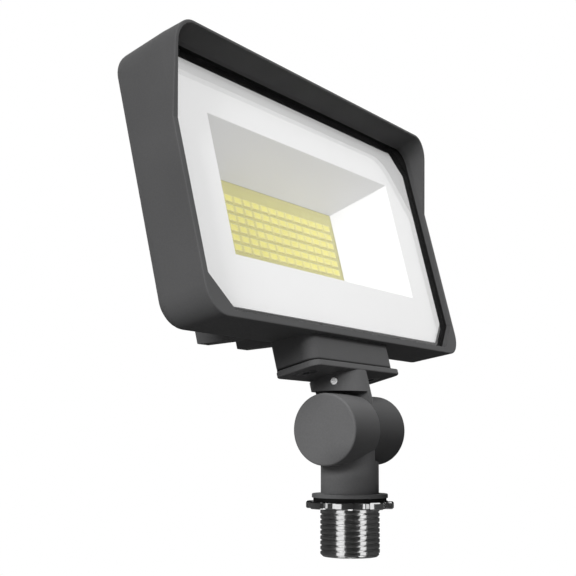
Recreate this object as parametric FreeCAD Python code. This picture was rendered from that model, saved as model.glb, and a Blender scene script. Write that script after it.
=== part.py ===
import FreeCAD, Part
import math
import os

# LED flood light on an adjustable knuckle with a half inch straight pipe thread.
# Millimetres. The part's origin is on the thread's axis, in the plane just under the locknut.
# +X runs along the knuckle's axis, +Y to the back of the lamp, +Z up the thread's axis.
# The head is drawn in a frame of its own: origin on the knuckle's axis, Z up the neck.

# Aim and knuckle
AIM_UP = 14.25
KNUCKLE_HEIGHT = 28.0
KNUCKLE_RADIUS = 12.75
KNUCKLE_PLAIN_HALF = 18.25
KNUCKLE_BOLT_HALF = 19.4
KNUCKLE_EDGE = 0.8
SEAM_GAP = 0.16
UPPER_NECK_GAP = 1.15
UPPER_NECK_SLOPE = 14.25
LOWER_NECK_RELIEF = 15.2
UPPER_NECK_RADIUS = 10.7
LOWER_NECK_RADIUS = 10.5

# Inside of the knuckle
WIRE_CHANNEL_RADIUS = 3.4
WIRE_CHANNEL_OFFSET = 5.2
WIRE_SPACE_DEPTH = 9.0
WIRE_SPACE_INNER = 4.6
WIRE_SPACE_OUTER = 7.4
O_RING_RADIUS = 8.4
O_RING_SECTION = 0.65
O_RING_ROOM = 0.05
O_RING_FACE_GAP = 0.1
TEETH = 30
TEETH_INNER = 9.5
TEETH_OUTER = 11.9
TEETH_DEPTH = 0.8
TEETH_GROOVE_WIDTH = 1.3

# Knuckle bolt
BOLT_RADIUS = 3.0
BOLT_CLEARANCE = 0.2
BOLT_THREAD_ROOM = 0.05
BOLT_HEAD_RADIUS = 5.0
BOLT_HEAD_HEIGHT = 5.4
BOLT_HEAD_ROOM = 1.0
BOLT_SOCKET_FLATS = 5.0
BOLT_SOCKET_DEPTH = 2.8
BOLT_REACH = 13.0
BOLT_SEAT_DEPTH = 7.4
LOCK_WASHER_THICKNESS = 1.5
LOCK_WASHER_RADIUS = 5.4
LOCK_WASHER_SPLIT = 1.2

# Threaded stub, sealing washer and locknut
THREAD_RADIUS = 10.67
THREAD_FREE_LENGTH = 16.8
THREAD_CHAMFER = 1.2
THREAD_STOP_WIDTH = 0.8
THREAD_STOP_DEPTH = 0.45
STUB_BORE_RADIUS = 6.0
SPIGOT_RADIUS = 8.6
SPIGOT_LENGTH = 6.8
SPIGOT_ROOM = 0.03
LOCKNUT_THICKNESS = 2.55
LOCKNUT_RADIUS = 13.6
LOCKNUT_LUG_RADIUS = 15.8
LOCKNUT_LUG_WIDTH = 6.2
LOCKNUT_LUGS = 8
THREAD_ROOM = 0.05
SEALING_WASHER_THICKNESS = 1.2
SEALING_WASHER_RADIUS = 13.2
FACE_GAP = 0.05
FLANGE_RADIUS = 13.7
FLANGE_THICKNESS = 1.45
FLANGE_EDGE = 0.35

# Cast housing
HOUSING_WIDTH = 180.0
HOUSING_HEIGHT = 99.0
HOUSING_DROP = 31.5
RIM_FORWARD = 12.0
SIDE_DEPTH = 21.8
SIDE_DRAFT = 1.5
TOP_DRAFT = 0.4
BOTTOM_DRAFT = 1.5
CORNER_RADIUS = 9.5
BACK_EDGE_RADIUS = 4.5
VISOR_REACH = 9.0
VISOR_HEIGHT = 33.3
RIM_WALL = 2.5
RIM_EDGE = 0.45
VISOR_WALL = 0.9
CORNER_CUT = 11.0
BACK_WALL = 2.5
LENS_SEAT_DEPTH = 6.5
REFLECTOR_SEAT_STEP = 0.7
REFLECTOR_SEAT_WIDTH = 1.2

# Heat sink on the back
RIB_COUNT = 5
RIB_THICKNESS = 6.0
RIB_BACK = 24.0
RIB_EDGE = 1.2
RIB_ROOT = 2.0
RIB_HEEL = 10.0
RIB_HEEL_RISE = 0.1
RIB_END_RISE = 2.8
SINK_WALL = 3.0
SINK_SLOPE = 5.0
SINK_MARGIN = 4.0
SINK_CORNER = 8.0

# Mounting boss and the arm's plate
BOSS_WIDTH = 60.0
BOSS_FRONT = 9.0
BOSS_BACK = 7.4
BOSS_FRONT_CORNER = 4.5
BOSS_BACK_CORNER = 1.5
BOSS_EDGE = 0.6
PLATE_HEIGHT = 19.8
PLATE_THICKNESS = 2.2
PLATE_OVERHANG = 1.5
PLATE_BACK_OVERHANG = 0.3
PLATE_CORNER = 3.5
PLATE_EDGE = 0.5
ARM_GASKET_THICKNESS = 0.8
ARM_SCREW_SPACING = 47.0
ARM_SCREW_RADIUS = 2.0
ARM_SCREW_HEAD_RADIUS = 4.0
ARM_SCREW_HEAD_HEIGHT = 2.0
ARM_SCREW_BITE = 7.0
SCREW_ROOM = 0.05
SCREW_PASS = 0.25
SET_SCREW_RADIUS = 1.3
SET_SCREW_LENGTH = 5.0
SET_SCREW_ANGLE = 199.5
SET_SCREW_HEIGHT = 17.0
SET_SCREW_SINK = 0.15

# Lens and seal
GLASS_THICKNESS = 3.0
GLASS_ROOM = 0.5
GLASS_EDGE = 0.5
SEAL_WIDTH = 2.1
SEAL_THICKNESS = 1.0

# Reflector
REFLECTOR_ROOM = 0.4
REFLECTOR_THICKNESS = 1.5
REFLECTOR_GLASS_GAP = 0.2
WINDOW_SIDE_BORDER = 26.0
WINDOW_HEIGHT = 51.3
WINDOW_RAISE = 0.5
WINDOW_EDGE = 0.6
FUNNEL_SIDE_RUN = 23.5
OPENING_MARGIN = 3.3

# LED board
LED_COLUMNS = 13
LED_ROWS = 6
LED_PITCH_Z = 3.86
LED_WIDTH = 5.0
LED_HEIGHT = 3.2
LED_THICKNESS = 0.7
LED_DROP = 2.0
LED_DEPTH = 22.7
BOARD_LOWER = 0.4
BOARD_HEIGHT = 38.0
BOARD_THICKNESS = 1.6
BOARD_ROOM = 1.0
LEAD_BAY = 3.5
PAD_THICKNESS = 0.5
PAD_INSET = 1.0
BOARD_SCREW_SPACING = 28.0
BOARD_SCREW_INSET = 6.5
SMALL_SCREW_RADIUS = 1.5
SMALL_SCREW_HEAD_RADIUS = 2.75
SMALL_SCREW_HEAD_HEIGHT = 1.8
BOARD_SCREW_BITE = 6.0
CONNECTOR_WIDTH = 5.6
CONNECTOR_HEIGHT = 7.0
CONNECTOR_RISE = 3.0
CONNECTOR_INSET = 1.6

# Driver
DRIVER_WIDTH = 22.0
DRIVER_HEIGHT = 66.0
DRIVER_THICKNESS = 1.6
DRIVER_STANDOFF = 1.0
DRIVER_SIDE_ROOM = 2.0
DRIVER_BAY_GAP = 0.8
DRIVER_SCREW_INSET = 3.5
DRIVER_SCREW_BITE = 2.6
STANDOFF_RADIUS = 3.2
TRANSFORMER_SIZE = 15.0
TRANSFORMER_RISE = 6.0
TRANSFORMER_COIL = 9.0
TRANSFORMER_COIL_OUT = 1.0
CAPACITOR_RADIUS = 2.9
CAPACITOR_LENGTH = 12.0
CAPACITOR_GAP = 2.0
CAPACITOR_INSET = 4.5
TERMINAL_WIDTH = 6.0
TERMINAL_RISE = 5.0
OUTPUT_TERMINAL_HEIGHT = 7.0
SUPPLY_TERMINAL_HEIGHT = 11.0
TERMINAL_INSET = 3.0
TERMINAL_ROOM = 1.0
LEAD_RADIUS = 0.8
LEAD_SPACING = 3.2
LEAD_BEND = 2.0
LEAD_RISE = 0.4

# Grommet where the supply leads come up from the arm
GROMMET_BORE_RADIUS = 3.6
GROMMET_HOLE_RADIUS = 2.4
GROMMET_STEM = 2.0
GROMMET_LIP = 0.8
GROMMET_LIP_THICKNESS = 1.4
GROMMET_ROOM = 0.1

# Levels that follow from the sizes above, in the head's frame
housing_top = HOUSING_DROP + HOUSING_HEIGHT
middle_z = HOUSING_DROP + HOUSING_HEIGHT / 2
back_plane = SIDE_DEPTH - RIM_FORWARD
lens_seat = LENS_SEAT_DEPTH - RIM_FORWARD
glass_back = lens_seat - SEAL_THICKNESS
glass_front = glass_back - GLASS_THICKNESS
reflector_seat = lens_seat + REFLECTOR_SEAT_STEP
reflector_front = glass_back + REFLECTOR_GLASS_GAP
cavity_back = back_plane - BACK_WALL
led_front = LED_DEPTH - RIM_FORWARD
board_front = led_front + LED_THICKNESS
board_back = board_front + BOARD_THICKNESS
board_seat = board_back + PAD_THICKNESS
sink_back = board_seat + SINK_WALL
board_z = middle_z - BOARD_LOWER
led_z = board_z - LED_DROP
window_z = middle_z + WINDOW_RAISE
seal_inset = GLASS_ROOM + SEAL_WIDTH
reflector_inset = seal_inset + REFLECTOR_ROOM
cavity_inset = reflector_inset + REFLECTOR_SEAT_WIDTH
window_half_x = HOUSING_WIDTH / 2 - WINDOW_SIDE_BORDER
funnel_half_x = window_half_x - FUNNEL_SIDE_RUN
array_half_x = funnel_half_x - OPENING_MARGIN
led_pitch_x = (2 * array_half_x - LED_WIDTH) / (LED_COLUMNS - 1)
array_half_z = ((LED_ROWS - 1) * LED_PITCH_Z + LED_HEIGHT) / 2
boss_bottom = PLATE_HEIGHT + PLATE_THICKNESS + ARM_GASKET_THICKNESS
boss_middle_y = (BOSS_BACK - BOSS_FRONT) / 2
cavity_half_x = HOUSING_WIDTH / 2 - RIM_WALL - cavity_inset
cavity_floor = HOUSING_DROP + RIM_WALL + cavity_inset
driver_right = cavity_half_x - DRIVER_SIDE_ROOM
driver_left = driver_right - DRIVER_WIDTH
driver_middle_x = (driver_left + driver_right) / 2
bay_half_x = driver_left - DRIVER_BAY_GAP
board_half_x = bay_half_x - LEAD_BAY - BOARD_ROOM
bay_half_z = BOARD_HEIGHT / 2 + BOARD_ROOM
board_screw_x = board_half_x - BOARD_SCREW_INSET
rib_pitch = 2 * board_screw_x / (RIB_COUNT - 1)
half_gap = SEAM_GAP / 2
bolt_seat = KNUCKLE_BOLT_HALF - BOLT_SEAT_DEPTH
locknut_top = FACE_GAP + LOCKNUT_THICKNESS
washer_top = locknut_top + FACE_GAP + SEALING_WASHER_THICKNESS
flange_bottom = washer_top + FACE_GAP
flange_top = flange_bottom + FLANGE_THICKNESS
driver_back = cavity_back - DRIVER_STANDOFF
driver_front = driver_back - DRIVER_THICKNESS
driver_low = middle_z - DRIVER_HEIGHT / 2
OVERCUT = 1.0


def vec(x, y, z):
    return FreeCAD.Vector(x, y, z)


def block(x, y, z):
    """Box between (low, high) pairs on each axis."""
    return Part.makeBox(x[1] - x[0], y[1] - y[0], z[1] - z[0], vec(x[0], y[0], z[0]))


def rod(radius, start, end):
    """Round bar between two points."""
    run = end - start
    return Part.makeCylinder(radius, run.Length, start, run)


def x_rod(radius, x_low, x_high):
    """Round bar on the knuckle's axis, in the head's frame."""
    return rod(radius, vec(x_low, 0, 0), vec(x_high, 0, 0))


def z_rod(radius, z_low, z_high, x=0, y=0):
    """Upright round bar."""
    return rod(radius, vec(x, y, z_low), vec(x, y, z_high))


def y_rod(radius, y_low, y_high, x, z):
    """Round bar from the front to the back."""
    return rod(radius, vec(x, y_low, z), vec(x, y_high, z))


def z_ring(outer, inner, z_low, z_high):
    return z_rod(outer, z_low, z_high).cut(z_rod(inner, z_low, z_high))


def fused(shapes):
    """One solid from touching solids, with the seams between them cleaned away."""
    return shapes[0].multiFuse(shapes[1:]).removeSplitter()


def aimed(shape):
    """Carry a shape from the head's frame to the part's frame."""
    moved = shape.copy()
    moved.rotate(vec(0, 0, 0), vec(1, 0, 0), -AIM_UP)
    moved.translate(vec(0, 0, KNUCKLE_HEIGHT))
    return moved


def raised(shape):
    """Carry a shape drawn about the knuckle's axis, not tilted, to the part's frame."""
    moved = shape.copy()
    moved.translate(vec(0, 0, KNUCKLE_HEIGHT))
    return moved


def rounded_wire(half_width, low, high, radius, y):
    """Upright rectangle with round corners, at one depth."""
    corners = (
        (half_width - radius, low + radius, 270),
        (half_width - radius, high - radius, 0),
        (radius - half_width, high - radius, 90),
        (radius - half_width, low + radius, 180),
    )
    arcs = []
    for x, z, first in corners:
        turn = [math.radians(first + step) for step in (0, 45, 90)]
        points = [vec(x + radius * math.cos(a), y, z + radius * math.sin(a)) for a in turn]
        arcs.append(points)
    edges = []
    for index, points in enumerate(arcs):
        following = arcs[(index + 1) % len(arcs)]
        edges.append(Part.Arc(*points).toShape())
        edges.append(Part.LineSegment(points[2], following[0]).toShape())
    return Part.Wire(edges)


def outline_wire(inset, y):
    """The housing's front outline, drawn in by an inset, at one depth."""
    return rounded_wire(
        HOUSING_WIDTH / 2 - inset,
        HOUSING_DROP + inset,
        housing_top - inset,
        CORNER_RADIUS - inset,
        y,
    )


def square_wire(half_width, low, high, y):
    """Upright rectangle with sharp corners, at one depth."""
    corners = ((-half_width, low), (half_width, low), (half_width, high), (-half_width, high))
    points = [vec(x, y, z) for x, z in corners]
    return Part.makePolygon(points + points[:1])


def lens_prism(inset, y_low, y_high):
    """Rectangle with four cut corners that lies the given inset inside the rim's inner wall."""
    half_width = HOUSING_WIDTH / 2 - RIM_WALL - inset
    low = HOUSING_DROP + RIM_WALL + inset
    high = housing_top - RIM_WALL - inset
    cut = CORNER_CUT - inset * (2 - math.sqrt(2))
    half = [
        (half_width - cut, low),
        (half_width, low + cut),
        (half_width, high - cut),
        (half_width - cut, high),
    ]
    mirrored = [(-x, z) for x, z in reversed(half)]
    points = [vec(x, y_low, z) for x, z in half + mirrored]
    face = Part.Face(Part.makePolygon(points + points[:1]))
    return face.extrude(vec(0, y_high - y_low, 0))


def side_prism(profile, x_low, x_high):
    """Solid from a (y, z) outline, drawn along X."""
    points = [vec(x_low, y, z) for y, z in profile]
    face = Part.Face(Part.makePolygon(points + points[:1]))
    return face.extrude(vec(x_high - x_low, 0, 0))


def upright_edges(shape):
    """Straight edges along Z, for rounding the corners of a block."""
    chosen = []
    for edge in shape.Edges:
        ends = [vertex.Point for vertex in edge.Vertexes]
        if len(ends) == 2 and (ends[0] - ends[1]).cross(vec(0, 0, 1)).Length < 1e-6:
            chosen.append(edge)
    return chosen


def in_plane(edge, axis, level):
    """Whether an edge lies in the plane where the given axis has the given level."""
    box = edge.BoundBox
    spans = {"x": (box.XMin, box.XMax), "y": (box.YMin, box.YMax), "z": (box.ZMin, box.ZMax)}
    low, high = spans[axis]
    return abs(low - level) < 1e-4 and abs(high - level) < 1e-4


def edges_at(shape, axis, level):
    return [edge for edge in shape.Edges if in_plane(edge, axis, level)]


def pan_screw(x, z, head_front, length):
    """Pan head screw driven towards the back, with its head's underside at the given depth."""
    head = y_rod(SMALL_SCREW_HEAD_RADIUS, head_front - SMALL_SCREW_HEAD_HEIGHT, head_front, x, z)
    shank = y_rod(SMALL_SCREW_RADIUS, head_front, head_front + length, x, z)
    return fused([head, shank])


def board_screw_places():
    return [
        (side * board_screw_x, board_z + level * BOARD_SCREW_SPACING / 2)
        for side in (-1, 1)
        for level in (-1, 1)
    ]


def driver_screw_places():
    low = driver_low + DRIVER_SCREW_INSET
    high = driver_low + DRIVER_HEIGHT - DRIVER_SCREW_INSET
    return [(driver_middle_x, low), (driver_middle_x, high)]


def arm_screw_places():
    return [side * ARM_SCREW_SPACING / 2 for side in (-1, 1)]


def front_level(z):
    """Depth of the casting's front face at a height: plain below, leaning forward up the visor."""
    above_bend = max(0, z - housing_top + VISOR_HEIGHT)
    return -RIM_FORWARD - above_bend * VISOR_REACH / VISOR_HEIGHT


def front_edges(shape):
    """Edges that lie in the casting's front face."""
    chosen = []
    for edge in shape.Edges:
        first, last = edge.ParameterRange
        points = [edge.valueAt(place) for place in (first, (first + last) / 2, last)]
        if max(abs(point.y - front_level(point.z)) for point in points) < 1e-4:
            chosen.append(edge)
    return chosen


def is_bend(edge):
    """Whether an edge is the line where the visor starts to lean, from side to side."""
    return edge.BoundBox.XLength > HOUSING_WIDTH / 2 and in_plane(edge, "z", housing_top - VISOR_HEIGHT)


def housing_pan():
    """Outer form of the casting: drafted pan, with the visor flaring forward at the top."""
    front = outline_wire(0, -RIM_FORWARD)
    back = rounded_wire(
        HOUSING_WIDTH / 2 - SIDE_DRAFT,
        HOUSING_DROP + BOTTOM_DRAFT,
        housing_top - TOP_DRAFT,
        CORNER_RADIUS,
        back_plane,
    )
    pan = Part.makeLoft([front, back], True, True)
    pan = pan.makeFillet(BACK_EDGE_RADIUS, edges_at(pan, "y", back_plane))
    hood = Part.Face(front).extrude(vec(0, -VISOR_REACH, 0))
    bend = housing_top - VISOR_HEIGHT
    slope = VISOR_REACH / VISOR_HEIGHT
    trim = [
        (-RIM_FORWARD, HOUSING_DROP - OVERCUT),
        (-RIM_FORWARD, bend),
        (-RIM_FORWARD - VISOR_REACH - OVERCUT * slope, housing_top + OVERCUT),
        (-RIM_FORWARD - 2 * VISOR_REACH, housing_top + OVERCUT),
        (-RIM_FORWARD - 2 * VISOR_REACH, HOUSING_DROP - OVERCUT),
    ]
    half = HOUSING_WIDTH / 2 + OVERCUT
    pan = pan.fuse(hood.cut(side_prism(trim, -half, half))).removeSplitter()
    outline = [edge for edge in front_edges(pan) if not is_bend(edge)]
    return pan.makeFillet(RIM_EDGE, outline)


def heat_sink():
    """Raised seat behind the LED board and the upright ribs across the back."""
    root = cavity_back + BACK_WALL / 2
    foot_x = bay_half_x + SINK_MARGIN
    foot_z = bay_half_z + SINK_MARGIN
    slope_z = foot_z + SINK_SLOPE
    foot = rounded_wire(foot_x + SINK_SLOPE, board_z - slope_z, board_z + slope_z, SINK_CORNER, root)
    top = rounded_wire(foot_x, board_z - foot_z, board_z + foot_z, SINK_CORNER, sink_back)
    seat = Part.makeLoft([foot, top], True, True)
    low = HOUSING_DROP + BOTTOM_DRAFT
    high = housing_top - TOP_DRAFT
    profile = [
        (RIB_ROOT, low),
        (RIB_HEEL, low + RIB_HEEL_RISE),
        (RIB_BACK, low + RIB_END_RISE),
        (RIB_BACK, high - RIB_END_RISE),
        (RIB_HEEL, high - RIB_HEEL_RISE),
        (RIB_ROOT, high),
    ]
    ribs = []
    for index in range(RIB_COUNT):
        x = (index - (RIB_COUNT - 1) / 2) * rib_pitch
        rib = side_prism(profile, x - RIB_THICKNESS / 2, x + RIB_THICKNESS / 2)
        ribs.append(rib.makeFillet(RIB_EDGE, edges_at(rib, "y", RIB_BACK)))
    return [seat] + ribs


def boss_block(z_low, z_high):
    """Block with the boss's outline, between two heights."""
    body = block((-BOSS_WIDTH / 2, BOSS_WIDTH / 2), (-BOSS_FRONT, BOSS_BACK), (z_low, z_high))
    for y, radius in ((-BOSS_FRONT, BOSS_FRONT_CORNER), (BOSS_BACK, BOSS_BACK_CORNER)):
        corners = [edge for edge in upright_edges(body) if in_plane(edge, "y", y)]
        body = body.makeFillet(radius, corners)
    return body


def boss():
    """Block under the lower wall that the arm's plate is screwed to."""
    body = boss_block(boss_bottom, cavity_floor - RIM_WALL / 2)
    return body.makeFillet(BOSS_EDGE, edges_at(body, "z", boss_bottom))


def corner_sinks():
    """Space in the visor's two corners, which brings the pads beside the glass down to its front."""
    outline = Part.Face(outline_wire(RIM_WALL, -RIM_FORWARD - OVERCUT))
    space = outline.extrude(vec(0, glass_front + RIM_FORWARD + OVERCUT, 0))
    half = HOUSING_WIDTH / 2
    keep = block((-half, half), (-RIM_FORWARD - OVERCUT, glass_front), (middle_z, housing_top))
    return space.common(keep)


def make_housing():
    front = -RIM_FORWARD - VISOR_REACH - OVERCUT
    body = fused([housing_pan(), boss()] + heat_sink())
    cuts = [
        Part.makeLoft([outline_wire(VISOR_WALL, front), outline_wire(RIM_WALL, -RIM_FORWARD)], True, True),
        corner_sinks(),
        lens_prism(0, -RIM_FORWARD - OVERCUT, lens_seat),
        lens_prism(reflector_inset - REFLECTOR_ROOM / 2, lens_seat - OVERCUT, reflector_seat),
        lens_prism(cavity_inset, reflector_seat - OVERCUT, cavity_back),
        block(
            (-bay_half_x, bay_half_x),
            (cavity_back - OVERCUT, board_seat),
            (board_z - bay_half_z, board_z + bay_half_z),
        ),
        z_rod(GROMMET_BORE_RADIUS, boss_bottom - OVERCUT, cavity_floor + OVERCUT, WIRE_CHANNEL_OFFSET),
    ]
    for tool in cuts:
        body = body.cut(tool)
    standoffs = []
    for x, z in driver_screw_places():
        standoffs.append(y_rod(STANDOFF_RADIUS, driver_back, cavity_back + OVERCUT, x, z))
    body = fused([body] + standoffs)
    holes = []
    for x, z in board_screw_places():
        end = board_front + BOARD_THICKNESS + PAD_THICKNESS + BOARD_SCREW_BITE + SCREW_ROOM
        holes.append(y_rod(SMALL_SCREW_RADIUS + SCREW_ROOM, board_seat - OVERCUT, end, x, z))
    for x, z in driver_screw_places():
        end = driver_back + DRIVER_SCREW_BITE + SCREW_ROOM
        holes.append(y_rod(SMALL_SCREW_RADIUS + SCREW_ROOM, driver_back - OVERCUT, end, x, z))
    for x in arm_screw_places():
        end = boss_bottom + ARM_SCREW_BITE + SCREW_ROOM
        holes.append(z_rod(ARM_SCREW_RADIUS + SCREW_ROOM, boss_bottom - OVERCUT, end, x, boss_middle_y))
    return body.cut(Part.makeCompound(holes))


def make_lens_glass():
    pane = lens_prism(GLASS_ROOM, glass_front, glass_back)
    return pane.makeChamfer(GLASS_EDGE, edges_at(pane, "y", glass_front))


def make_lens_seal():
    ring = lens_prism(GLASS_ROOM, glass_back, lens_seat)
    return ring.cut(lens_prism(seal_inset, glass_back - OVERCUT, lens_seat + OVERCUT))


def funnel(margin, y_low, y_high):
    """Tapered block from the window back to the opening round the LEDs, grown by a margin."""
    depth = board_front - REFLECTOR_GLASS_GAP - reflector_front
    small_z = array_half_z + OPENING_MARGIN

    def section(y):
        share = (y - reflector_front) / depth
        half_x = window_half_x - FUNNEL_SIDE_RUN * share + margin
        half_z = WINDOW_HEIGHT / 2 + (small_z - WINDOW_HEIGHT / 2) * share + margin
        z = window_z + (board_z - window_z) * share
        return square_wire(half_x, z - half_z, z + half_z, y)

    return Part.makeLoft([section(y_low), section(y_high)], True, True)


def is_window(edge):
    """Whether an edge of the reflector's front lies on the window's outline."""
    x = abs(edge.CenterOfMass.x)
    z = abs(edge.CenterOfMass.z - window_z)
    return x < window_half_x + WINDOW_EDGE and z < WINDOW_HEIGHT / 2 + WINDOW_EDGE


def make_reflector():
    back = board_front - REFLECTOR_GLASS_GAP
    flange = lens_prism(reflector_inset, reflector_front, reflector_seat)
    walls = funnel(REFLECTOR_THICKNESS, reflector_front, back)
    body = fused([flange, walls]).cut(funnel(0, reflector_front - OVERCUT, back + OVERCUT))
    window = [edge for edge in edges_at(body, "y", reflector_front) if is_window(edge)]
    return body.makeFillet(WINDOW_EDGE, window)


def make_led_board():
    board = block(
        (-board_half_x, board_half_x),
        (board_front, board_back),
        (board_z - BOARD_HEIGHT / 2, board_z + BOARD_HEIGHT / 2),
    )
    holes = [
        y_rod(SMALL_SCREW_RADIUS + SCREW_PASS, board_front - OVERCUT, board_back + OVERCUT, x, z)
        for x, z in board_screw_places()
    ]
    return board.cut(Part.makeCompound(holes))


def make_led_chips():
    chips = []
    for column in range(LED_COLUMNS):
        x = (column - (LED_COLUMNS - 1) / 2) * led_pitch_x
        for row in range(LED_ROWS):
            z = led_z + (row - (LED_ROWS - 1) / 2) * LED_PITCH_Z
            chips.append(block(
                (x - LED_WIDTH / 2, x + LED_WIDTH / 2),
                (led_front, board_front),
                (z - LED_HEIGHT / 2, z + LED_HEIGHT / 2),
            ))
    return Part.makeCompound(chips)


def make_thermal_pad():
    half_x = board_half_x - PAD_INSET
    half_z = BOARD_HEIGHT / 2 - PAD_INSET
    pad = block((-half_x, half_x), (board_back, board_seat), (board_z - half_z, board_z + half_z))
    holes = [
        y_rod(SMALL_SCREW_RADIUS + SCREW_PASS, board_back - OVERCUT, board_seat + OVERCUT, x, z)
        for x, z in board_screw_places()
    ]
    return pad.cut(Part.makeCompound(holes))


def make_led_board_screws():
    length = BOARD_THICKNESS + PAD_THICKNESS + BOARD_SCREW_BITE
    screws = [pan_screw(x, z, board_front, length) for x, z in board_screw_places()]
    return Part.makeCompound(screws)


def connector_right():
    return board_half_x - CONNECTOR_INSET


def make_led_connector():
    return block(
        (connector_right() - CONNECTOR_WIDTH, connector_right()),
        (board_front - CONNECTOR_RISE, board_front),
        (board_z - CONNECTOR_HEIGHT / 2, board_z + CONNECTOR_HEIGHT / 2),
    )


def make_driver_board():
    board = block(
        (driver_left, driver_right),
        (driver_front, driver_back),
        (driver_low, driver_low + DRIVER_HEIGHT),
    )
    holes = [
        y_rod(SMALL_SCREW_RADIUS + SCREW_PASS, driver_front - OVERCUT, driver_back + OVERCUT, x, z)
        for x, z in driver_screw_places()
    ]
    return board.cut(Part.makeCompound(holes))


def make_driver_screws():
    length = DRIVER_THICKNESS + DRIVER_SCREW_BITE
    screws = [pan_screw(x, z, driver_front, length) for x, z in driver_screw_places()]
    return Part.makeCompound(screws)


def make_driver_transformer():
    """Square core with its winding showing above and below."""
    half = TRANSFORMER_SIZE / 2
    z = driver_low + DRIVER_HEIGHT * 3 / 4
    core = block(
        (driver_middle_x - half, driver_middle_x + half),
        (driver_front - TRANSFORMER_RISE, driver_front),
        (z - half, z + half),
    )
    coil_half = TRANSFORMER_COIL / 2
    coil = block(
        (driver_middle_x - coil_half, driver_middle_x + coil_half),
        (driver_front - TRANSFORMER_RISE + TRANSFORMER_COIL_OUT, driver_front - TRANSFORMER_COIL_OUT),
        (z - half - TRANSFORMER_COIL_OUT, z + half + TRANSFORMER_COIL_OUT),
    )
    return fused([core, coil])


def supply_terminal_z():
    screw_top = driver_low + DRIVER_SCREW_INSET + SMALL_SCREW_HEAD_RADIUS
    return screw_top + TERMINAL_ROOM + SUPPLY_TERMINAL_HEIGHT / 2


def make_driver_capacitors():
    """Two capacitors laid flat along the board's outer edge."""
    x = driver_right - CAPACITOR_INSET
    y = driver_front - CAPACITOR_RADIUS - SCREW_ROOM
    low = supply_terminal_z() - CAPACITOR_LENGTH / 2
    cans = []
    for place in range(2):
        z = low + place * (CAPACITOR_LENGTH + CAPACITOR_GAP)
        cans.append(z_rod(CAPACITOR_RADIUS, z, z + CAPACITOR_LENGTH, x, y))
    return Part.makeCompound(cans)


def terminal(z, height):
    left = driver_left + TERMINAL_INSET
    return block(
        (left, left + TERMINAL_WIDTH),
        (driver_front - TERMINAL_RISE, driver_front),
        (z - height / 2, z + height / 2),
    )


def make_driver_terminals():
    """Output terminal beside the LED board, and supply terminal at the lower end."""
    return Part.makeCompound([
        terminal(board_z, OUTPUT_TERMINAL_HEIGHT),
        terminal(supply_terminal_z(), SUPPLY_TERMINAL_HEIGHT),
    ])


def lead(points, radius, bend):
    """Round wire along straight runs joined by tangent arcs."""
    edges = []
    start = points[0]
    for before, corner, after in zip(points, points[1:], points[2:]):
        back = (before - corner).normalize()
        on = (after - corner).normalize()
        half_turn = back.getAngle(on) / 2
        cut = bend / math.tan(half_turn)
        first = corner + back * cut
        last = corner + on * cut
        middle = (back + on).normalize()
        peak = corner + middle * (bend / math.sin(half_turn) - bend)
        edges.append(Part.LineSegment(start, first).toShape())
        edges.append(Part.Arc(first, peak, last).toShape())
        start = last
    edges.append(Part.LineSegment(start, points[-1]).toShape())
    path = Part.Wire(edges)
    ring = Part.Wire(Part.Circle(points[0], points[1] - points[0], radius).toShape())
    return path.makePipeShell([ring], True, False)


def make_led_leads():
    """Two leads from the driver's output terminal back to the LED board's connector."""
    turn_x = bay_half_x - LEAD_RADIUS - BOARD_ROOM / 2
    low_y = board_front - CONNECTOR_RISE / 2
    high_y = driver_front - LEAD_RISE - LEAD_RADIUS
    leads = []
    for side in (-1, 1):
        z = board_z + side * LEAD_SPACING / 2
        route = [
            vec(connector_right(), low_y, z),
            vec(turn_x, low_y, z),
            vec(turn_x, high_y, z),
            vec(driver_left + TERMINAL_INSET, high_y, z),
        ]
        leads.append(lead(route, LEAD_RADIUS, LEAD_BEND))
    return Part.makeCompound(leads)


def make_lead_grommet():
    x = WIRE_CHANNEL_OFFSET
    stem = z_rod(GROMMET_BORE_RADIUS - GROMMET_ROOM, cavity_floor - GROMMET_STEM, cavity_floor, x)
    lip = z_rod(GROMMET_BORE_RADIUS + GROMMET_LIP, cavity_floor,
                cavity_floor + GROMMET_LIP_THICKNESS, x)
    hole = z_rod(GROMMET_HOLE_RADIUS, cavity_floor - GROMMET_STEM - OVERCUT,
                 cavity_floor + GROMMET_LIP_THICKNESS + OVERCUT, x)
    return fused([stem, lip]).cut(hole)


def arm_plate():
    """Flat rectangle under the boss, larger than the boss by its overhangs."""
    plate = block(
        (-BOSS_WIDTH / 2 - PLATE_OVERHANG, BOSS_WIDTH / 2 + PLATE_OVERHANG),
        (-BOSS_FRONT - PLATE_OVERHANG, BOSS_BACK + PLATE_BACK_OVERHANG),
        (PLATE_HEIGHT, PLATE_HEIGHT + PLATE_THICKNESS),
    )
    return plate.makeFillet(PLATE_CORNER, upright_edges(plate))


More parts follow.
